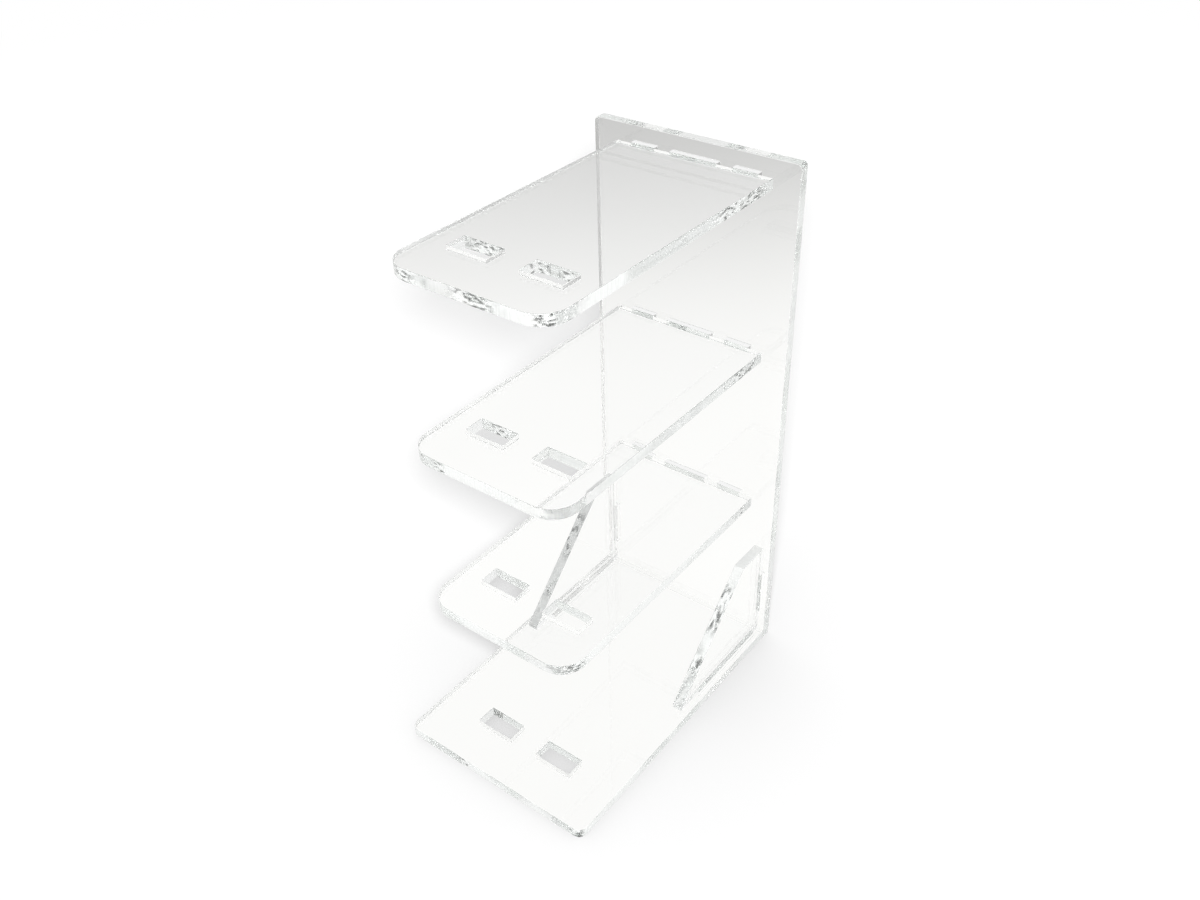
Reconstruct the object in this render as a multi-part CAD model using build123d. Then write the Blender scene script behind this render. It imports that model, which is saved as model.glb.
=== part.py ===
from build123d import *
import os

# Clear tiered shelf riser, cut from one thickness of acrylic sheet and joined by tabs in slots.
# Millimetres. +X is the riser's right as seen from its front, -Y is the front, +Z is up. The origin is
# at the middle of the footprint, on the surface that the riser stands on.

# Stock, base and back panel
sheet = 5.0  # thickness of every piece
width = 100.0  # side to side
base_depth = 150.0  # base front edge to the back panel's front face
base_corner_radius = 4.0  # front corners of the base
back_corner_radius = 2.0  # top corners of the back panel

# Shelves
shelf_names = ["lower_shelf", "middle_shelf", "top_shelf"]
tier_pitch = 79.0  # one level's top surface to the next
crown = 8.0  # top shelf's surface to the back panel's top edge
shelf_width = 76.0
shelf_reach = 140.0  # back panel's front face to the shelf's front edge
shelf_corner_radius = 12.0  # front corners

# Pairs of rectangular slots near the front of every level
slot_length = 19.0  # across the width
slot_width = 9.5  # front to back
slot_spacing = 34.0  # centre to centre, across the width
shelf_slot_setback = 27.0  # shelf front edge to the slots' centre line
base_slot_setback = 26.0  # base front edge to the slots' centre line

# Tabs at the rear of each shelf
tab_gap = 0.1  # clearance on each side of every tab in its slot
centre_tab_width = 23.0
side_tab_width = 12.0
side_tab_inset = 7.0  # shelf's side edge to a side tab's outer edge

# Gussets in the corner of base and back panel
gusset_inset = 3.5  # side edge of the base to the gusset's outer face
gusset_run = 69.0  # along the base, from the back panel's front face
gusset_rise = 52.0  # up the back panel, from the base's top surface
gusset_toe = 1.5  # height of the blunt front end
base_tab_length = 50.0
base_tab_setback = 4.0  # back panel's front face to the base tab
back_tab_length = 24.0
back_tab_lift = 11.0  # base's top surface to the back tab

# Levels and faces that the pieces share
back_face = (base_depth - sheet) / 2  # front face of the back panel
base_front = back_face - base_depth
shelf_tops = [sheet + tier_pitch * (n + 1) for n in range(len(shelf_names))]
height = shelf_tops[-1] + crown
gusset_centre = width / 2 - gusset_inset - sheet / 2
side_tab_centre = shelf_width / 2 - side_tab_inset - side_tab_width / 2
shelf_tabs = [(-side_tab_centre, side_tab_width), (0, centre_tab_width), (side_tab_centre, side_tab_width)]

back_plane = Plane(origin=(0, back_face, 0), x_dir=(1, 0, 0), z_dir=(0, -1, 0))


def block(x_range, y_range):
    """Rectangle between two pairs of limits."""
    x_low, x_high = x_range
    y_low, y_high = y_range
    return Pos((x_low + x_high) / 2, (y_low + y_high) / 2) * Rectangle(x_high - x_low, y_high - y_low)


def grown(limits, by):
    """The same limits, moved apart at both ends."""
    return limits[0] - by, limits[1] + by


def around(middle, size):
    """Limits that lie evenly about a middle."""
    return middle - size / 2, middle + size / 2


def panel(half_width, y_range, corner_radius, rounded_end):
    """Rectangle with two rounded corners: at its low Y end (0) or its high Y end (-1)."""
    outline = block((-half_width, half_width), y_range)
    return fillet(outline.vertices().group_by(Axis.Y)[rounded_end], corner_radius)


def front_slots(front_edge, setback):
    """The pair of rectangular slots near the front of a level."""
    slots = Sketch()
    for side in (-1, 1):
        slots += Pos(side * slot_spacing / 2, front_edge + setback) * Rectangle(slot_length, slot_width)
    return slots


def gusset_tab_limits():
    """Where the gusset tabs lie: along Y in the base, and along Z in the back panel."""
    base_tab_end = back_face - base_tab_setback
    back_tab_foot = sheet + back_tab_lift
    return (base_tab_end - base_tab_length, base_tab_end), (back_tab_foot, back_tab_foot + back_tab_length)


def make_base():
    outline = panel(width / 2, (base_front, back_face), base_corner_radius, 0)
    outline -= front_slots(base_front, base_slot_setback)
    tab_in_base, _ = gusset_tab_limits()
    for side in (-1, 1):
        outline -= block(grown(around(side * gusset_centre, sheet), tab_gap), grown(tab_in_base, tab_gap))
    return extrude(outline, amount=sheet)


def make_back():
    outline = panel(width / 2, (0, height), back_corner_radius, -1)
    for top in shelf_tops:
        for middle, tab_width in shelf_tabs:
            outline -= block(grown(around(middle, tab_width), tab_gap), grown((top - sheet, top), tab_gap))
    _, tab_in_back = gusset_tab_limits()
    for side in (-1, 1):
        outline -= block(grown(around(side * gusset_centre, sheet), tab_gap), grown(tab_in_back, tab_gap))
    return extrude(back_plane * outline, amount=-sheet)


def make_shelf(top):
    front = back_face - shelf_reach
    outline = panel(shelf_width / 2, (front, back_face), shelf_corner_radius, 0)
    for middle, tab_width in shelf_tabs:
        outline += block(around(middle, tab_width), (back_face, back_face + sheet))
    outline -= front_slots(front, shelf_slot_setback)
    return Pos(0, 0, top - sheet) * extrude(outline, amount=sheet)


def make_gusset(side):
    toe = back_face - gusset_run
    brow = toe + gusset_rise - gusset_toe  # where the 45 degree edge meets the flat top
    corners = [
        (toe, sheet),
        (back_face, sheet),
        (back_face, sheet + gusset_rise),
        (brow, sheet + gusset_rise),
        (toe, sheet + gusset_toe),
    ]
    profile = make_face(Polyline(*corners, close=True))
    tab_in_base, tab_in_back = gusset_tab_limits()
    profile += block(tab_in_base, (0, sheet))
    profile += block((back_face, back_face + sheet), tab_in_back)
    inner_face = side * gusset_centre - sheet / 2
    upright = Plane(origin=(inner_face, 0, 0), x_dir=(0, 1, 0), z_dir=(1, 0, 0))
    return extrude(upright * profile, amount=sheet)


pieces = {"base_panel": make_base(), "back_panel": make_back()}
for shelf_name, shelf_top in zip(shelf_names, shelf_tops):
    pieces[shelf_name] = make_shelf(shelf_top)
pieces["left_gusset"] = make_gusset(-1)
pieces["right_gusset"] = make_gusset(1)

os.makedirs("parts", exist_ok=True)
for piece_name, piece in pieces.items():
    export_step(piece, f"parts/{piece_name}.step")
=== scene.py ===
"""Clear tiered shelf riser: laser-cut acrylic sheets with their tabs in slots, on a pale studio floor.

Metres, with the riser's right along +X, its front along -Y and up along +Z.
"""

import math

import bmesh
import bpy
from mathutils import Matrix, Vector


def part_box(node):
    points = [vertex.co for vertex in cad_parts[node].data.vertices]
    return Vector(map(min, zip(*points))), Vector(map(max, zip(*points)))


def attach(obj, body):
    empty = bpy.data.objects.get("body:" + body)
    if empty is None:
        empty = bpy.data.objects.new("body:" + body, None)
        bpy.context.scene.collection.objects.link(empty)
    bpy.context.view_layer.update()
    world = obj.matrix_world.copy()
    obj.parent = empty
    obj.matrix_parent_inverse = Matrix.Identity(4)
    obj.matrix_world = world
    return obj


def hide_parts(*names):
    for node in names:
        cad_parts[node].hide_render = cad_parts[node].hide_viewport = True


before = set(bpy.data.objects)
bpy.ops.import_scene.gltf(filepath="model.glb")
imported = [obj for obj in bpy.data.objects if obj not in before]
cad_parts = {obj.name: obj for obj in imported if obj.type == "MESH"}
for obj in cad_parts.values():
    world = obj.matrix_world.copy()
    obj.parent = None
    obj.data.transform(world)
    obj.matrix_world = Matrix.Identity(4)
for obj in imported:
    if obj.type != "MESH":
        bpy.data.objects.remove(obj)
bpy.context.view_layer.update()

bl_info = {
    "name": "Tiered Shelf Riser",
    "version": (1, 0, 0),
    "blender": (4, 5, 0),
    "location": "View3D > Sidebar > Riser",
    "description": "Builds a clear acrylic shelf riser from its packed sheets",
    "category": "Add Mesh",
}

MM = 0.001
BODY = "root"
SHELVES = ("lower_shelf", "middle_shelf", "top_shelf")
GUSSETS = ("left_gusset", "right_gusset")
SHEETS = ("base_panel", "back_panel", *SHELVES, *GUSSETS)
TOUCH = 0.2 * MM  # a wall this near another sheet's box counts as pressed against it
SLOT_BARE = 0.4  # how bare the wall of an open slot is

# Where the cut walls are rippled and carry painted dark and pale glints: the middle of each stretch in its
# sheet's own plane, and its reach, in mm.
GUSSET_GLINTS = ((38, 43, 18), (18, 23, 6))
GLINTS = {
    "top_shelf": (
        (-31, -66, 14), (5, -68, 13), (34, -64, 6), (38, 48, 26), (-15, -36, 12), (9, -36, 6), (21, -36, 4),
    ),
    "middle_shelf": ((-35, -63, 11), (-20, -67, 4), (-17, -36, 7), (38, 58, 16)),
    "lower_shelf": ((37, -60, 7), (38, 62, 8)),
    "base_panel": ((-17, -77, 5), (47, -77, 5)),
    "back_panel": ((-28, 250, 4), (-10, 250, 3), (21, 250, 4)),
    "left_gusset": GUSSET_GLINTS,
    "right_gusset": GUSSET_GLINTS,
}
WALL = "cut_wall"  # point attribute: 0 on the polished faces, 1 on the laser-cut walls
BARE = "bare_wall"  # point attribute: 1 on open cut walls, SLOT_BARE in open slots, 0 elsewhere
GLINT = "glint"  # point attribute: up to 1 where a bare wall is rippled and carries painted glints, 0 elsewhere


# ---------------------------------------------------------------- properties


def length(name, description, millimetres):
    return bpy.props.FloatProperty(
        name=name, description=description, default=millimetres * MM, min=0.0,
        subtype="DISTANCE", unit="LENGTH",
    )


class RiserSizes(bpy.types.PropertyGroup):
    """Sizes of the outlines that the frame's boxes don't give."""

    slot_length: length("Slot length", "Size of a front slot across the width", 19.0)
    slot_width: length("Slot width", "Size of a front slot from front to back", 9.5)
    slot_spacing: length("Slot spacing", "Centre to centre of a pair of front slots", 34.0)
    shelf_setback: length("Shelf setback", "Shelf's front edge to the centre line of its slots", 27.0)
    base_setback: length("Base setback", "Base's front edge to the centre line of its slots", 26.0)
    shelf_corner: length("Shelf corner", "Radius of a shelf's front corners", 12.0)
    base_corner: length("Base corner", "Radius of the base's front corners", 4.0)
    back_corner: length("Back corner", "Radius of the back panel's top corners", 2.0)
    tab_gap: length("Tab gap", "Clearance on each side of a tab in its slot", 0.1)
    centre_tab: length("Centre tab", "Width of a shelf's middle tab", 23.0)
    side_tab: length("Side tab", "Width of a shelf's outer tabs", 12.0)
    side_tab_inset: length("Side tab inset", "Shelf's side edge to a side tab's outer edge", 7.0)
    base_tab: length("Base tab", "Length of a gusset's tab in the base", 50.0)
    base_tab_setback: length("Base tab setback", "Back panel's front face to a gusset's base tab", 4.0)
    back_tab: length("Back tab", "Length of a gusset's tab in the back panel", 24.0)
    back_tab_lift: length("Back tab lift", "Base's top surface to a gusset's back tab", 11.0)
    gusset_toe: length("Gusset toe", "Height of a gusset's blunt front end", 1.5)


class RiserFinish(bpy.types.PropertyGroup):
    """How the acrylic sheet is cut and what it looks like."""

    arris: length("Arris", "Radius where a cut wall meets a polished face", 0.2)
    air_film: length("Air film", "How far each sheet stands back from its neighbours", 0.03)
    step: length("Step", "Distance between points along a cut outline", 0.7)
    ripple_depth: length("Ripple depth", "How deep the laser's ripples run into a cut wall", 0.20)
    ripple_length: length("Ripple length", "Typical distance from one ripple to the next", 2.0)
    seed: bpy.props.IntProperty(name="Seed", description="Picks another set of ripples", default=7, min=0)
    tint: bpy.props.FloatVectorProperty(
        name="Tint", description="Colour of the light that a thick piece lets through", subtype="COLOR",
        default=(0.35, 0.50, 0.42), min=0.0, max=1.0,
    )
    tint_density: bpy.props.FloatProperty(
        name="Tint density", description="How quickly the tint builds up along a sheet, for each metre",
        default=1.2, min=0.0,
    )
    ior: bpy.props.FloatProperty(
        name="Refractive index", description="Refractive index of acrylic", default=1.49, min=1.0, max=2.0
    )


# ---------------------------------------------------------------- node graphs


class Wire:
    """A socket in a node tree. Arithmetic on it adds Math nodes, and add() adds any other node."""

    def __init__(self, tree, socket=None):
        self.tree = tree
        self.socket = socket

    def add(self, kind, settings=None, sockets=None, output=0):
        """Adds a node with its settings, then its sockets' values or links, and gives one of its outputs."""
        node = self.tree.nodes.new(kind)
        for name, value in (settings or {}).items():
            setattr(node, name, value)
        for name, value in (sockets or {}).items():
            if isinstance(value, Wire):
                self.tree.links.new(value.socket, node.inputs[name])
            else:
                node.inputs[name].default_value = value
        return Wire(self.tree, node.outputs[output] if len(node.outputs) else None)

    def other(self, output):
        """Another output of the same node."""
        return Wire(self.tree, self.socket.node.outputs[output])

    def maths(self, operation, first, second=0.0, clamp=False):
        settings = {"operation": operation, "use_clamp": clamp}
        return self.add("ShaderNodeMath", settings, {0: first, 1: second})

    def __add__(self, value):
        return self.maths("ADD", self, value)

    def __radd__(self, value):
        return self.maths("ADD", value, self)

    def __sub__(self, value):
        return self.maths("SUBTRACT", self, value)

    def __rsub__(self, value):
        return self.maths("SUBTRACT", value, self)

    def __mul__(self, value):
        return self.maths("MULTIPLY", self, value)

    def __rmul__(self, value):
        return self.maths("MULTIPLY", value, self)

    def __rtruediv__(self, value):
        return self.maths("DIVIDE", value, self)

    def __pow__(self, value):
        return self.maths("POWER", self, value)

    def ramp(self, low, high, bottom=0.0, top=1.0):
        """Smooth step: bottom up to low, and top from high on."""
        return self.add(
            "ShaderNodeMapRange",
            {"interpolation_type": "SMOOTHSTEP"},
            {"Value": self, "From Min": low, "From Max": high, "To Min": bottom, "To Max": top},
        )

    def scaled(self, factors):
        """A vector with each of its parts multiplied."""
        return self.add("ShaderNodeVectorMath", {"operation": "MULTIPLY"}, {0: self, 1: factors})

    def parts(self):
        """The X, Y and Z of a vector."""
        x = self.add("ShaderNodeSeparateXYZ", sockets={"Vector": self})
        return x, x.other("Y"), x.other("Z")

    def grey(self, blue=None):
        """A grey of this value, with its blue part multiplied where that is asked for."""
        sockets = {"Red": self, "Green": self, "Blue": self if blue is None else self * blue}
        return self.add("ShaderNodeCombineColor", sockets=sockets)

    def noise(self, scale, detail=2.0, roughness=0.5, seed=0.0):
        """Fractal noise over this vector, about 0.5."""
        return self.add(
            "ShaderNodeTexNoise",
            {"noise_dimensions": "4D"},
            {"Vector": self, "W": seed, "Scale": scale, "Detail": detail, "Roughness": roughness},
        )


def new_material(name):
    """A material with an empty tree, and a wire to start from."""
    material = bpy.data.materials.new(name)
    material.use_nodes = True
    material.node_tree.nodes.clear()
    return material, Wire(material.node_tree)


# ---------------------------------------------------------------- acrylic

# How fine each pattern is, in cells to the metre.
STREAKS_FINE = 1400.0
MELT_FINE = 850.0
FLOW_FINE = 28.0
HAIRLINES_FINE = 2600.0
SMUDGES_FINE = 60.0
GLINT_SPECKS_FINE = 1000.0
PATCHES_FINE = 45.0
HAIRLINE_STRETCH = (1.0, 0.06, 1.0)  # draws the hairlines out along Y

# Values of each pattern's noise between which the pattern fades in. The pale painted glints fade out between
# theirs.
HAIRLINE_LIMITS = (0.70, 0.78)
SMUDGE_LIMITS = (0.5, 0.75)
PATCH_LIMITS = (0.42, 0.58)
DARK_GLINT_LIMITS = (0.56, 0.61)
PALE_GLINT_LIMITS = (0.44, 0.52)

# How high each pattern stands in the bump, in mm.
FLOW_RISE = 0.02
HAIRLINE_CUT = 0.0004
STREAK_RISE = 0.002
MELT_RISE = 0.01
GLINT_MELT_RISE = 0.35  # added to the melt's rise where a wall is rippled

# Roughness.
SMUDGE_ROUGHNESS = 0.012
HAIRLINE_ROUGHNESS = 0.02
WALL_ROUGHNESS = 0.01
BARE_ROUGHNESS = 0.07  # added to it on bare walls
FROST_ROUGHNESS = 0.5

CLEAR_TONE = 0.998  # grey of the clear acrylic's surface
PAINTED_GLINT_SHADE = 0.80  # painted dark glint: how much a dark speck takes from the clear tone
PALE_GLINT_FROST = 0.85  # how frosted a pale painted glint is: white frost standing in for a highlight
PATCH_FROST = (0.4, 1.3)  # what the clearest and the whitest patches multiply the frost by
STREAK_FROST = (0.8, 0.4)  # what the streaks multiply it by: a least value, and how much they add
FROST_COLOUR = (0.97, 0.985, 0.975, 1.0)
FROST_GLOW = 0.35  # share of the frost that lets light through
FROST_SEEN_INSIDE = 0.5  # share of the frost that is left when it is seen from inside the sheet
SHADOW_COLOUR = (0.6, 0.6, 0.6, 1.0)  # what each face lets through for shadow rays and diffuse rays


def acrylic(name, finish, sheet):
    """Clear cast acrylic: polished faces, and laser-cut walls with streaks through the thickness and painted
    glints.
    """
    material, start = new_material(name)
    place = start.add("ShaderNodeTexCoord", output="Object")
    wall = start.add("ShaderNodeAttribute", {"attribute_name": WALL}, output="Fac")
    bare = start.add("ShaderNodeAttribute", {"attribute_name": BARE}, output="Fac")
    glint = start.add("ShaderNodeAttribute", {"attribute_name": GLINT}, output="Fac")
    streak_place = place.scaled(sheet.grain())

    streaks = streak_place.noise(STREAKS_FINE, detail=1.0, seed=1.0)
    melt = place.noise(MELT_FINE, detail=1.0, seed=2.0)
    flow = place.noise(FLOW_FINE, detail=1.0, seed=4.0)
    hairlines = place.scaled(HAIRLINE_STRETCH).noise(HAIRLINES_FINE, detail=1.0, seed=5.0)
    hairlines = hairlines.ramp(*HAIRLINE_LIMITS)
    smudges = place.noise(SMUDGES_FINE, detail=3.0, roughness=0.6, seed=6.0).ramp(*SMUDGE_LIMITS)

    face_height = flow * FLOW_RISE * MM - hairlines * HAIRLINE_CUT * MM
    painted_glint_specks = place.scaled(sheet.glint_speck_grain()).noise(GLINT_SPECKS_FINE, detail=1.0, seed=3.0)
    patches = place.noise(PATCHES_FINE, detail=1.0, seed=8.0).ramp(*PATCH_LIMITS, *PATCH_FROST)
    painted_dark_glints = painted_glint_specks.ramp(*DARK_GLINT_LIMITS) * glint
    painted_pale_glints = painted_glint_specks.ramp(*PALE_GLINT_LIMITS, 1.0, 0.0) * glint
    wall_height = (melt * (MELT_RISE + GLINT_MELT_RISE * glint) + streaks * STREAK_RISE) * MM
    height = face_height * (1.0 - wall) + wall_height * wall
    bump = start.add("ShaderNodeBump", sockets={"Strength": 1.0, "Distance": 1.0, "Height": height})

    face_roughness = smudges * SMUDGE_ROUGHNESS + hairlines * HAIRLINE_ROUGHNESS
    wall_roughness = WALL_ROUGHNESS + BARE_ROUGHNESS * bare * (1.0 - glint)
    roughness = face_roughness * (1.0 - wall) + wall_roughness * wall

    # Painted dark glints: the clear acrylic's colour is darkened in specks where its walls would glint dark.
    tone = CLEAR_TONE - PAINTED_GLINT_SHADE * painted_dark_glints
    clear = start.add(
        "ShaderNodeBsdfPrincipled",
        sockets={
            "Base Color": tone.grey(),
            "Roughness": roughness,
            "IOR": finish.ior,
            "Transmission Weight": 1.0,
            "Normal": bump,
        },
    )
    bright = start.add(
        "ShaderNodeBsdfPrincipled",
        sockets={
            "Base Color": FROST_COLOUR,
            "Roughness": FROST_ROUGHNESS,
            "IOR": finish.ior,
            "Normal": bump,
        },
    )
    glow = start.add("ShaderNodeBsdfTranslucent", sockets={"Color": FROST_COLOUR, "Normal": bump})
    frost = start.add("ShaderNodeMixShader", sockets={0: FROST_GLOW, 1: bright, 2: glow})
    inner_side = start.add("ShaderNodeNewGeometry", output="Backfacing")
    outside = 1.0 - (1.0 - FROST_SEEN_INSIDE) * inner_side
    frost_share = outside * bare * sheet.frost * patches * (STREAK_FROST[0] + STREAK_FROST[1] * streaks)
    # Painted highlights: white frost specks in the glint stretches stand in for bright glints.
    frosting = frost_share * (1.0 - glint) + PALE_GLINT_FROST * painted_pale_glints
    cut = start.add("ShaderNodeMixShader", sockets={0: frosting, 1: clear, 2: frost})
    light_path = start.add("ShaderNodeLightPath", output="Is Shadow Ray")
    pass_through = start.add("ShaderNodeBsdfTransparent", sockets={"Color": SHADOW_COLOUR})
    bounced = start.add(
        "ShaderNodeMixShader", sockets={0: light_path.other("Is Diffuse Ray"), 1: cut, 2: pass_through}
    )
    surface = start.add("ShaderNodeMixShader", sockets={0: light_path, 1: bounced, 2: pass_through})
    inside = start.add(
        "ShaderNodeVolumeAbsorption", sockets={"Color": (*finish.tint, 1.0), "Density": finish.tint_density}
    )
    start.add("ShaderNodeOutputMaterial", sockets={"Surface": surface, "Volume": inside})
    return material


# ---------------------------------------------------------------- sheets


STREAK_STRETCH = 0.08  # how fine the streaks are through the thickness, against along the outline
GLINT_SPECK_STRETCH = 0.4  # how fine the painted glint specks are along the cut, against through the thickness
CORNER_PIECES = 6  # fewest straight pieces in a rounded corner
ARRIS_ANGLES = (0, 30, 60, 90)  # degrees round an arris at which a wall has a row of points
WALL_BANDS = 4  # bands of faces between the two arrises
SMOOTH_ANGLE = math.radians(40)  # edges that turn less than this are shaded smooth


class Sheet:
    """How an outline's two directions and the sheet's thickness lie along X, Y and Z."""

    def __init__(self, across, along, through, frost, glint_speck):
        self.axes = (across, along, through)
        self.frost = frost  # how frosted its bare cut walls are
        self.glint_speck = glint_speck  # how fine its painted glint specks are, through the thickness

    def place(self, u, v, w):
        point = [0.0, 0.0, 0.0]
        for axis, value in zip(self.axes, (u, v, w)):
            point[axis] = value
        return Vector(point)

    def grain(self):
        """Full detail along the outline, and little through the thickness."""
        return tuple(STREAK_STRETCH if axis == self.axes[2] else 1.0 for axis in range(3))

    def glint_speck_grain(self):
        """The painted glint specks are longer along the cut than through the thickness."""
        return tuple(self.glint_speck if axis == self.axes[2] else GLINT_SPECK_STRETCH * self.glint_speck for axis in range(3))


X, Y, Z = 0, 1, 2
LEVEL = Sheet(X, Y, Z, frost=0.68, glint_speck=0.9)
UPRIGHT = Sheet(X, Z, Y, frost=0.5, glint_speck=0.9)
BRACE = Sheet(Y, Z, X, frost=0.6, glint_speck=0.6)


def rectangle(u_range, v_range):
    """Corners of a rectangle, anticlockwise, with no rounding."""
    (u0, u1), (v0, v1) = u_range, v_range
    return [(u0, v0, 0.0), (u1, v0, 0.0), (u1, v1, 0.0), (u0, v1, 0.0)]


def around(middle, size):
    return middle - size / 2, middle + size / 2


def grown(limits, by):
    return limits[0] - by, limits[1] + by


def rounded(corners, step):
    """Points of a closed outline whose corners are (u, v, radius)."""
    points = []
    for n, (u, v, radius) in enumerate(corners):
        corner = Vector((u, v))
        if radius == 0.0:
            points.append(corner)
            continue
        before = (Vector(corners[n - 1][:2]) - corner).normalized()
        after = (Vector(corners[(n + 1) % len(corners)][:2]) - corner).normalized()
        half = before.angle(after) / 2
        centre = corner + (before + after).normalized() * (radius / math.sin(half))
        first = corner + before * (radius / math.tan(half)) - centre
        last = corner + after * (radius / math.tan(half)) - centre
        sweep = first.angle_signed(last)
        pieces = max(CORNER_PIECES, math.ceil(abs(sweep) * radius / step))
        for k in range(pieces + 1):
            points.append(centre + Matrix.Rotation(-sweep * k / pieces, 2) @ first)
    return points


def divided(points, step):
    """The same outline with points no further apart than a step."""
    result = []
    for start, end in zip(points, points[1:] + points[:1]):
        pieces = max(1, math.ceil((end - start).length / step))
        result += [start.lerp(end, k / pieces) for k in range(pieces)]
    return result


def inward(points):
    """For each point, the step that moves its two sides towards their left by 1."""
    steps = []
    for n, point in enumerate(points):
        before = (point - points[n - 1]).normalized()
        after = (points[(n + 1) % len(points)] - point).normalized()
        left_before = Vector((-before.y, before.x))
        left_after = Vector((-after.y, after.x))
        steps.append((left_before + left_after) / (1 + left_before.dot(left_after)))
    return steps


def wall_profile(thickness, arris):
    """Rows of a cut wall from one face to the other: its inset, its height and how far it is a wall."""
    bend = [math.radians(angle) for angle in ARRIS_ANGLES]
    foot = [(arris * (1 - math.sin(a)), arris * (1 - math.cos(a)), math.sin(a)) for a in bend]
    rise = thickness - 2 * arris
    middle = [(0.0, arris + rise * k / WALL_BANDS, 1.0) for k in range(1, WALL_BANDS)]
    head = [(inset, thickness - height, share) for inset, height, share in reversed(foot)]
    return foot + middle + head


def pressed(point, boxes):
    """True where a point lies in or against one of the boxes of the other sheets."""
    for low, high in boxes:
        if all(low[k] - TOUCH <= point[k] <= high[k] + TOUCH for k in range(3)):
            return True
    return False


def nearness(point, node):
    """1 at the middle of one of a sheet's glinting stretches, and 0 outside them all."""
    spots = [(Vector((u, v)) * MM, reach * MM) for u, v, reach in GLINTS[node]]
    return max(0.0, *(1.0 - (point - spot).length / reach for spot, reach in spots))


def cut_sheet(node, sheet, outline, holes, low, high, finish):
    """A closed mesh of one sheet, cut to an outline with holes, with a small round arris on every edge."""
    film = finish.air_film
    low, high = low + film, high - film
    profile = wall_profile(high - low, finish.arris)
    mesh = bpy.data.meshes.new(node)
    bm = bmesh.new()
    wall_layer = bm.verts.layers.float.new(WALL)
    bare_layer = bm.verts.layers.float.new(BARE)
    glint_layer = bm.verts.layers.float.new(GLINT)
    cap_edges = {0: [], len(profile) - 1: []}
    neighbours = [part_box(other) for other in SHEETS if other != node]
    middle = (low + high) / 2
    loops = [(outline, 1, 1.0)] + [(hole, -1, SLOT_BARE) for hole in holes]
    for corners, turn, open_bare in loops:
        points = divided(rounded(corners[::turn], finish.step), finish.step)
        steps = inward(points)
        open_air = [
            0.0 if pressed(sheet.place(point.x, point.y, middle), neighbours) else open_bare
            for point in points
        ]
        rows = []
        for inset, height, share in profile:
            row = []
            for point, step, bare in zip(points, steps, open_air):
                at = point + step * (film + inset)
                vertex = bm.verts.new(sheet.place(at.x, at.y, low + height))
                vertex[wall_layer] = share
                vertex[bare_layer] = share * bare
                vertex[glint_layer] = share * nearness(point, node) if bare > 0.0 else 0.0
                row.append(vertex)
            rows.append(row)
        count = len(points)
        for lower, upper in zip(rows, rows[1:]):
            for n in range(count):
                m = (n + 1) % count
                bm.faces.new((lower[n], lower[m], upper[m], upper[n])).smooth = True
        for row_number in cap_edges:
            row = rows[row_number]
            cap_edges[row_number] += [bm.edges.get((row[n], row[(n + 1) % count])) for n in range(count)]
    for edges in cap_edges.values():
        bmesh.ops.triangle_fill(bm, edges=edges, use_beauty=True)
    bmesh.ops.recalc_face_normals(bm, faces=bm.faces)
    for edge in bm.edges:
        edge.smooth = edge.is_manifold and edge.calc_face_angle(0.0) < SMOOTH_ANGLE
    bm.to_mesh(mesh)
    bm.free()
    return mesh


# ---------------------------------------------------------------- ripples of the cut


PLAIN_PRESS = 0.15  # share of the ripples' depth on plain walls
GLINT_SPREAD = (0.12, 0.55)  # where a stretch starts to ripple, and where it ripples in full


def ripple_tree():
    """Geometry nodes that press ripples into a sheet's cut walls and give the sheet its material."""
    tree = bpy.data.node_groups.new("laser_cut_walls", "GeometryNodeTree")
    tree.interface.new_socket("Geometry", in_out="INPUT", socket_type="NodeSocketGeometry")
    tree.interface.new_socket("Ripple depth", in_out="INPUT", socket_type="NodeSocketFloat")
    tree.interface.new_socket("Ripple length", in_out="INPUT", socket_type="NodeSocketFloat")
    tree.interface.new_socket("Grain", in_out="INPUT", socket_type="NodeSocketVector")
    tree.interface.new_socket("Seed", in_out="INPUT", socket_type="NodeSocketInt")
    tree.interface.new_socket("Material", in_out="INPUT", socket_type="NodeSocketMaterial")
    tree.interface.new_socket("Geometry", in_out="OUTPUT", socket_type="NodeSocketGeometry")
    given = Wire(tree).add("NodeGroupInput", output="Geometry")
    depth = given.other("Ripple depth")
    seed = given.other("Seed")
    place = given.add("GeometryNodeInputPosition").scaled(given.other("Grain"))
    wall = given.add(
        "GeometryNodeInputNamedAttribute", {"data_type": "FLOAT"}, {"Name": WALL}, output="Attribute"
    )
    near = given.add(
        "GeometryNodeInputNamedAttribute", {"data_type": "FLOAT"}, {"Name": GLINT}, output="Attribute"
    )
    scale = 1.0 / given.other("Ripple length")
    ripple = place.noise(scale, detail=1.0, roughness=0.6, seed=seed)
    glint = (near * (place.noise(scale * 0.5, detail=1.0, seed=seed + 10.0) + 0.5)).ramp(*GLINT_SPREAD)
    press = (ripple - 1.0) * depth * wall * (PLAIN_PRESS + (1.0 - PLAIN_PRESS) * glint)
    offset = given.add(
        "ShaderNodeVectorMath",
        {"operation": "SCALE"},
        {0: given.add("GeometryNodeInputNormal"), "Scale": press},
    )
    moved = given.add("GeometryNodeSetPosition", sockets={"Geometry": given, "Offset": offset})
    marked = given.add(
        "GeometryNodeStoreNamedAttribute",
        {"data_type": "FLOAT", "domain": "POINT"},
        {"Geometry": moved, "Name": GLINT, "Value": glint},
    )
    whole = given.add("GeometryNodeRealizeInstances", sockets={"Geometry": marked})
    finished = given.add(
        "GeometryNodeSetMaterial", sockets={"Geometry": whole, "Material": given.other("Material")}
    )
    given.add("NodeGroupOutput", sockets={"Geometry": finished})
    return tree


def shared(collection, name, make):
    """The data block of that name, made the first time it is asked for."""
    return collection.get(name) or make()


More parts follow.
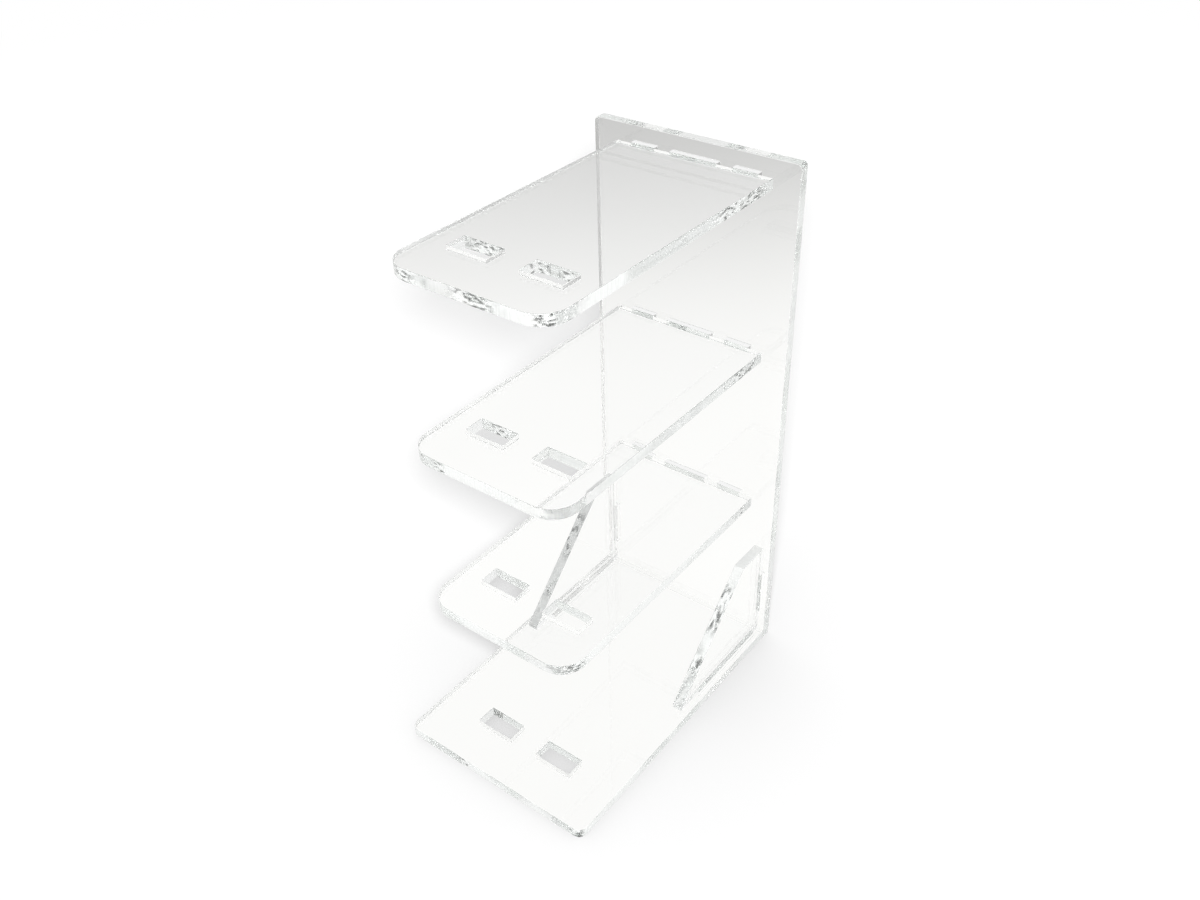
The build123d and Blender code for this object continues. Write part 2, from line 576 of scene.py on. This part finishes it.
def finish_sheet(node, sheet, outline, holes, low, high):
    """Makes the acrylic sheet that stands for one node of the frame."""
    finish = bpy.context.scene.riser_finish
    name = node + "_acrylic"
    piece = bpy.data.objects.new(name, cut_sheet(node, sheet, outline, holes, low, high, finish))
    bpy.context.scene.collection.objects.link(piece)

    material_name = "acrylic_" + "xyz"[sheet.axes[2]]
    material = shared(bpy.data.materials, material_name, lambda: acrylic(material_name, finish, sheet))
    tree = shared(bpy.data.node_groups, "laser_cut_walls", ripple_tree)
    modifier = piece.modifiers.new("ripples", "NODES")
    modifier.node_group = tree
    inputs = {
        "Ripple depth": finish.ripple_depth,
        "Ripple length": finish.ripple_length,
        "Grain": sheet.grain(),
        "Seed": finish.seed,
        "Material": material,
    }
    for item in tree.interface.items_tree:
        if item.in_out == "INPUT" and item.name in inputs:
            modifier[item.identifier] = inputs[item.name]
    bpy.context.view_layer.update()
    evaluated = piece.evaluated_get(bpy.context.evaluated_depsgraph_get())
    rippled = bpy.data.meshes.new_from_object(evaluated)
    rippled.name = name
    piece.modifiers.clear()
    piece.data = rippled
    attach(piece, BODY)
    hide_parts(node)
    return piece


def front_slots(sizes, front, setback):
    """The pair of slots near the front of a level."""
    across = sizes.slot_spacing / 2
    return [
        rectangle(around(side * across, sizes.slot_length), around(front + setback, sizes.slot_width))
        for side in (-1, 1)
    ]


def shelf_tabs(sizes, half_width):
    """The limits, across the width, of a shelf's three tabs."""
    side = half_width - sizes.side_tab_inset - sizes.side_tab / 2
    return [around(-side, sizes.side_tab), around(0.0, sizes.centre_tab), around(side, sizes.side_tab)]


def gusset_slots(sizes, tab):
    """The slots in one sheet for the tabs of both gussets, from the limits of a tab along that sheet."""
    slots = []
    for gusset in GUSSETS:
        low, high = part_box(gusset)
        slots.append(rectangle(grown((low.x, high.x), sizes.tab_gap), grown(tab, sizes.tab_gap)))
    return slots


def gusset_tabs(sizes):
    """The limits of a gusset's tabs: along Y in the base, and along Z in the back panel."""
    back_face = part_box("back_panel")[0].y
    base_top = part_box("base_panel")[1].z
    end = back_face - sizes.base_tab_setback
    foot = base_top + sizes.back_tab_lift
    return (end - sizes.base_tab, end), (foot, foot + sizes.back_tab)


# ---------------------------------------------------------------- operators


class RISER_OT_base_panel(bpy.types.Operator):
    """Cut the base, with its front slots and the slots for the gussets."""

    bl_idname = "riser.base_panel"
    bl_label = "Base panel"

    def execute(self, context):
        sizes = context.scene.riser_sizes
        low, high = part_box("base_panel")
        outline = [
            (low.x, low.y, sizes.base_corner),
            (high.x, low.y, sizes.base_corner),
            (high.x, high.y, 0.0),
            (low.x, high.y, 0.0),
        ]
        holes = front_slots(sizes, low.y, sizes.base_setback)
        tab, _ = gusset_tabs(sizes)
        holes += gusset_slots(sizes, tab)
        finish_sheet("base_panel", LEVEL, outline, holes, low.z, high.z)
        return {"FINISHED"}


class RISER_OT_back_panel(bpy.types.Operator):
    """Cut the back panel, with a slot for every tab of the shelves and gussets."""

    bl_idname = "riser.back_panel"
    bl_label = "Back panel"

    def execute(self, context):
        sizes = context.scene.riser_sizes
        low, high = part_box("back_panel")
        outline = [
            (low.x, low.z, 0.0),
            (high.x, low.z, 0.0),
            (high.x, high.z, sizes.back_corner),
            (low.x, high.z, sizes.back_corner),
        ]
        holes = []
        for shelf in SHELVES:
            shelf_low, shelf_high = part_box(shelf)
            level = grown((shelf_low.z, shelf_high.z), sizes.tab_gap)
            for tab in shelf_tabs(sizes, shelf_high.x):
                holes.append(rectangle(grown(tab, sizes.tab_gap), level))
        _, tab = gusset_tabs(sizes)
        holes += gusset_slots(sizes, tab)
        finish_sheet("back_panel", UPRIGHT, outline, holes, low.y, high.y)
        return {"FINISHED"}


class RISER_OT_shelves(bpy.types.Operator):
    """Cut the three shelves, each with two front slots and three tabs at the rear."""

    bl_idname = "riser.shelves"
    bl_label = "Shelves"

    def execute(self, context):
        sizes = context.scene.riser_sizes
        back_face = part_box("back_panel")[0].y
        for shelf in SHELVES:
            low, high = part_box(shelf)
            outline = [
                (low.x, low.y, sizes.shelf_corner),
                (high.x, low.y, sizes.shelf_corner),
                (high.x, back_face, 0.0),
            ]
            for tab_low, tab_high in reversed(shelf_tabs(sizes, high.x)):
                outline += [(tab_high, back_face, 0.0), (tab_high, high.y, 0.0)]
                outline += [(tab_low, high.y, 0.0), (tab_low, back_face, 0.0)]
            outline.append((low.x, back_face, 0.0))
            holes = front_slots(sizes, low.y, sizes.shelf_setback)
            finish_sheet(shelf, LEVEL, outline, holes, low.z, high.z)
        return {"FINISHED"}


class RISER_OT_gussets(bpy.types.Operator):
    """Cut the two triangular gussets, each with a tab in the base and one in the back panel."""

    bl_idname = "riser.gussets"
    bl_label = "Gussets"

    def execute(self, context):
        sizes = context.scene.riser_sizes
        back_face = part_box("back_panel")[0].y
        base_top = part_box("base_panel")[1].z
        base_tab, back_tab = gusset_tabs(sizes)
        for gusset in GUSSETS:
            low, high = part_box(gusset)
            brow = low.y + high.z - base_top - sizes.gusset_toe
            outline = [
                (low.y, base_top, 0.0),
                (base_tab[0], base_top, 0.0),
                (base_tab[0], low.z, 0.0),
                (base_tab[1], low.z, 0.0),
                (base_tab[1], base_top, 0.0),
                (back_face, base_top, 0.0),
                (back_face, back_tab[0], 0.0),
                (high.y, back_tab[0], 0.0),
                (high.y, back_tab[1], 0.0),
                (back_face, back_tab[1], 0.0),
                (back_face, high.z, 0.0),
                (brow, high.z, 0.0),
                (low.y, base_top + sizes.gusset_toe, 0.0),
            ]
            finish_sheet(gusset, BRACE, outline, [], low.x, high.x)
        return {"FINISHED"}


# ---------------------------------------------------------------- stage

FLOOR_HALF = 3.0
LENS_MM = 34.67
CAMERA_PLACE = Vector((0.2468, -0.3096, 0.4183))
CAMERA_AZIMUTH = math.radians(38.0)
CAMERA_DOWN = math.radians(35.33)
CAMERA_ROLL = math.radians(-1.48)
LAMP_PLACE = Vector((0.2535, -0.314, 0.436))
LAMP_RADIUS = 0.03
LAMP_LIGHT = 1.0  # what the lamp alone adds to a white floor that faces it
SKY_LIGHT = 0.7  # what the sky alone adds to it
FLOOR_WHITE = 1.07  # how bright the open floor looks
UNDER_SHADE = 0.11  # painted shade: how much darker the floor's colour is under the base
FLOOR_SEEN_THROUGH = 0.93  # share without shadows, in reflections and through the sheets
WARMTH = 0.985  # blue of the floor there, against its red and green
DARK_CARD = (0.33, -0.42, 0.846)  # direction of the dark card above the front right
STUDIO_WALLS = 0.92  # brightness of the studio in reflections and through the sheets
STUDIO_CEILING = 0.5
CARD_SHADE = 0.45  # brightness that the dark card leaves

# What reflections and the sheets show of the floor, which glows there with painted light and shade. In each
# pair a change starts and ends, in metres.
DIM_BEHIND = (0.22, 0.82)  # it dims behind the riser, as seen from the camera
DIMMEST = 0.54
BRIGHT_BEHIND = (0.90, 2.0)  # further off it brightens again
DIM_FAR = (1.0, 2.8)  # far off it dims a little on every side, towards the studio's walls
FAR_LOSS = 0.08
BRIGHT_NEAR = (0.10, 0.24)  # near the riser it is a little brighter
NEAR_GAIN = 0.03
PATCH_ACROSS = (0.05, 0.12)  # painted shade: a dark patch lies behind the riser, on its right, for the acrylic to reflect
PATCH_ALONG = (0.26, 0.34)
PATCH_END = (0.9, 1.4)
PATCH_SHADE = 0.6

# The floor itself, again in pairs of metres.
UNDER_ACROSS = (0.044, 0.048)  # painted shade: it is a little darker under the base, whose half sizes these follow
UNDER_ALONG = (0.072, 0.076)
PLAIN_FROM = (0.7, 1.4)  # for the camera it turns plain white here, without shadows

# The sky's changes: the height of a direction, and its nearness to the dark card's.
CEILING_EDGE = (0.75, 0.95)
CARD_EDGE = (0.93, 0.955)

BOUNCES = 128
SHADOW_LAYERS = 64  # sheet faces that a straight ray may pass


def make_floor():
    """A wide white floor that keeps the riser's shadow near it and is plain white further off."""
    bm = bmesh.new()
    bmesh.ops.create_grid(bm, x_segments=4, y_segments=4, size=FLOOR_HALF)
    mesh = bpy.data.meshes.new("floor")
    bm.to_mesh(mesh)
    bm.free()
    floor = bpy.data.objects.new("floor", mesh)
    bpy.context.scene.collection.objects.link(floor)

    material, start = new_material("studio_floor")
    x, y, _ = start.add("ShaderNodeTexCoord", output="Object").parts()
    off_x = x - LAMP_PLACE.x
    off_y = y - LAMP_PLACE.y
    slant = LAMP_PLACE.z / (off_x * off_x + off_y * off_y + LAMP_PLACE.z**2) ** 0.5
    even = FLOOR_WHITE / (SKY_LIGHT + LAMP_LIGHT * slant)  # makes the open floor equally white everywhere
    edge_x = x.maths("ABSOLUTE", x)
    edge_y = y.maths("ABSOLUTE", y)
    # Painted shade: the floor's colour is darker under the base, where the riser would shade it.
    painted_shade_under_base = edge_x.ramp(*UNDER_ACROSS, 1.0, 0.0) * edge_y.ramp(*UNDER_ALONG, 1.0, 0.0)
    even = even * (1.0 - UNDER_SHADE * painted_shade_under_base)
    lit = start.add("ShaderNodeBsdfDiffuse", sockets={"Color": even.grey()})

    reach = (x * x + y * y) ** 0.5
    seen = start.add("ShaderNodeLightPath", output="Is Camera Ray")
    through = seen.maths("MAXIMUM", seen.other("Is Glossy Ray"), seen.other("Is Transmission Ray"))
    # Painted shade: a dark patch on the floor behind the riser, on its right, stands in for a dark card.
    painted_dark_patch = x.ramp(*PATCH_ACROSS) * y.ramp(*PATCH_ALONG) * reach.ramp(*PATCH_END, 1.0, 0.0)
    behind = y * math.cos(CAMERA_AZIMUTH) - x * math.sin(CAMERA_AZIMUTH)
    # Painted light and shade on the glowing floor: dimmer behind the riser and far off, brighter near it.
    painted_floor_glow = behind.ramp(*DIM_BEHIND, 1.0, DIMMEST) + behind.ramp(*BRIGHT_BEHIND, 0.0, 1.0 - DIMMEST)
    painted_floor_glow = painted_floor_glow - reach.ramp(*DIM_FAR, 0.0, FAR_LOSS)
    painted_floor_glow = painted_floor_glow * (1.0 - PATCH_SHADE * painted_dark_patch) + reach.ramp(*BRIGHT_NEAR, NEAR_GAIN, 0.0)
    shown = seen + (1.0 - seen) * painted_floor_glow
    white = shown.grey(blue=1.0 - (1.0 - WARMTH) * (1.0 - seen))
    plain = start.add("ShaderNodeEmission", sockets={"Color": white, "Strength": 1.0})
    far = reach.ramp(*PLAIN_FROM)
    share = seen * far + (1.0 - seen) * through * FLOOR_SEEN_THROUGH
    surface = start.add("ShaderNodeMixShader", sockets={0: share, 1: lit, 2: plain})
    start.add("ShaderNodeOutputMaterial", sockets={"Surface": surface})
    material.cycles.emission_sampling = "NONE"
    mesh.materials.append(material)


def make_sky():
    """White for the camera, and a soft studio with a dark ceiling for what the acrylic reflects."""
    world = bpy.data.worlds.new("studio")
    world.use_nodes = True
    world.node_tree.nodes.clear()
    start = Wire(world.node_tree)
    direction = start.add("ShaderNodeTexCoord", output="Generated")
    _, _, up = direction.parts()
    dark_card = start.add(
        "ShaderNodeVectorMath", {"operation": "DOT_PRODUCT"}, {0: direction, 1: DARK_CARD}, output="Value"
    )
    seen = start.add("ShaderNodeLightPath", output="Is Camera Ray")
    through = seen.maths("MAXIMUM", seen.other("Is Glossy Ray"), seen.other("Is Transmission Ray"))
    ceiling = up.ramp(*CEILING_EDGE, STUDIO_WALLS, STUDIO_CEILING)
    studio = ceiling * dark_card.ramp(*CARD_EDGE, 1.0, CARD_SHADE)
    strength = seen + (1.0 - seen) * (through * studio + (1.0 - through) * SKY_LIGHT)
    sky = start.add("ShaderNodeBackground", sockets={"Color": (1.0, 1.0, 1.0, 1.0), "Strength": strength})
    start.add("ShaderNodeOutputWorld", sockets={"Surface": sky})
    bpy.context.scene.world = world


def make_lamp():
    """A small soft lamp beside the camera. Its light doesn't fall off, so that the floor stays even."""
    light = bpy.data.lights.new("lamp", "POINT")
    light.energy = LAMP_LIGHT * 4 * math.pi * math.pi
    light.shadow_soft_size = LAMP_RADIUS
    light.use_nodes = True
    tree = light.node_tree
    tree.nodes.clear()
    start = Wire(tree)
    steady = start.add("ShaderNodeLightFalloff", sockets={"Strength": 1.0}, output="Constant")
    glow = start.add("ShaderNodeEmission", sockets={"Strength": steady})
    start.add("ShaderNodeOutputLight", sockets={"Surface": glow})
    lamp = bpy.data.objects.new("lamp", light)
    lamp.location = LAMP_PLACE
    lamp.visible_glossy = False
    lamp.visible_transmission = False
    bpy.context.scene.collection.objects.link(lamp)


def make_camera():
    """The camera: it looks down on the riser from its front right."""
    data = bpy.data.cameras.new("camera")
    data.lens = LENS_MM
    data.clip_start = 0.01
    flat = math.cos(CAMERA_DOWN)
    back = Vector(
        (math.sin(CAMERA_AZIMUTH) * flat, -math.cos(CAMERA_AZIMUTH) * flat, math.sin(CAMERA_DOWN))
    )
    level_right = Vector((0.0, 0.0, 1.0)).cross(back).normalized()
    level_up = back.cross(level_right)
    right = level_right * math.cos(CAMERA_ROLL) + level_up * math.sin(CAMERA_ROLL)
    up = back.cross(right)
    camera = bpy.data.objects.new("camera", data)
    camera.matrix_world = Matrix.Translation(CAMERA_PLACE) @ Matrix((right, up, back)).transposed().to_4x4()
    bpy.context.scene.collection.objects.link(camera)
    bpy.context.scene.camera = camera


class RISER_OT_stage(bpy.types.Operator):
    """Set up the floor, the sky, the lamp and the camera."""

    bl_idname = "riser.stage"
    bl_label = "Stage"

    def execute(self, context):
        make_floor()
        make_sky()
        make_lamp()
        make_camera()
        scene = context.scene
        scene.view_settings.view_transform = "Standard"
        scene.cycles.max_bounces = BOUNCES
        scene.cycles.transmission_bounces = BOUNCES
        scene.cycles.glossy_bounces = BOUNCES
        scene.cycles.transparent_max_bounces = SHADOW_LAYERS
        return {"FINISHED"}


OPERATORS = (RISER_OT_base_panel, RISER_OT_back_panel, RISER_OT_shelves, RISER_OT_gussets, RISER_OT_stage)


class RISER_PT_sidebar(bpy.types.Panel):
    """Lists the steps that build the riser."""

    bl_idname = "RISER_PT_sidebar"
    bl_label = "Tiered shelf riser"
    bl_space_type = "VIEW_3D"
    bl_region_type = "UI"
    bl_category = "Riser"

    def draw(self, context):
        for operator in OPERATORS:
            self.layout.operator(operator.bl_idname)
        for group in (context.scene.riser_sizes, context.scene.riser_finish):
            for name in group.__annotations__:
                self.layout.prop(group, name)


CLASSES = (RiserSizes, RiserFinish, *OPERATORS, RISER_PT_sidebar)


def register():
    for item in CLASSES:
        bpy.utils.register_class(item)
    bpy.types.Scene.riser_sizes = bpy.props.PointerProperty(type=RiserSizes)
    bpy.types.Scene.riser_finish = bpy.props.PointerProperty(type=RiserFinish)


def unregister():
    del bpy.types.Scene.riser_finish
    del bpy.types.Scene.riser_sizes
    for item in reversed(CLASSES):
        bpy.utils.unregister_class(item)


def main():
    register()
    bpy.ops.riser.stage()
    bpy.ops.riser.base_panel()
    bpy.ops.riser.back_panel()
    bpy.ops.riser.shelves()
    bpy.ops.riser.gussets()


if __name__ == "__main__":
    main()
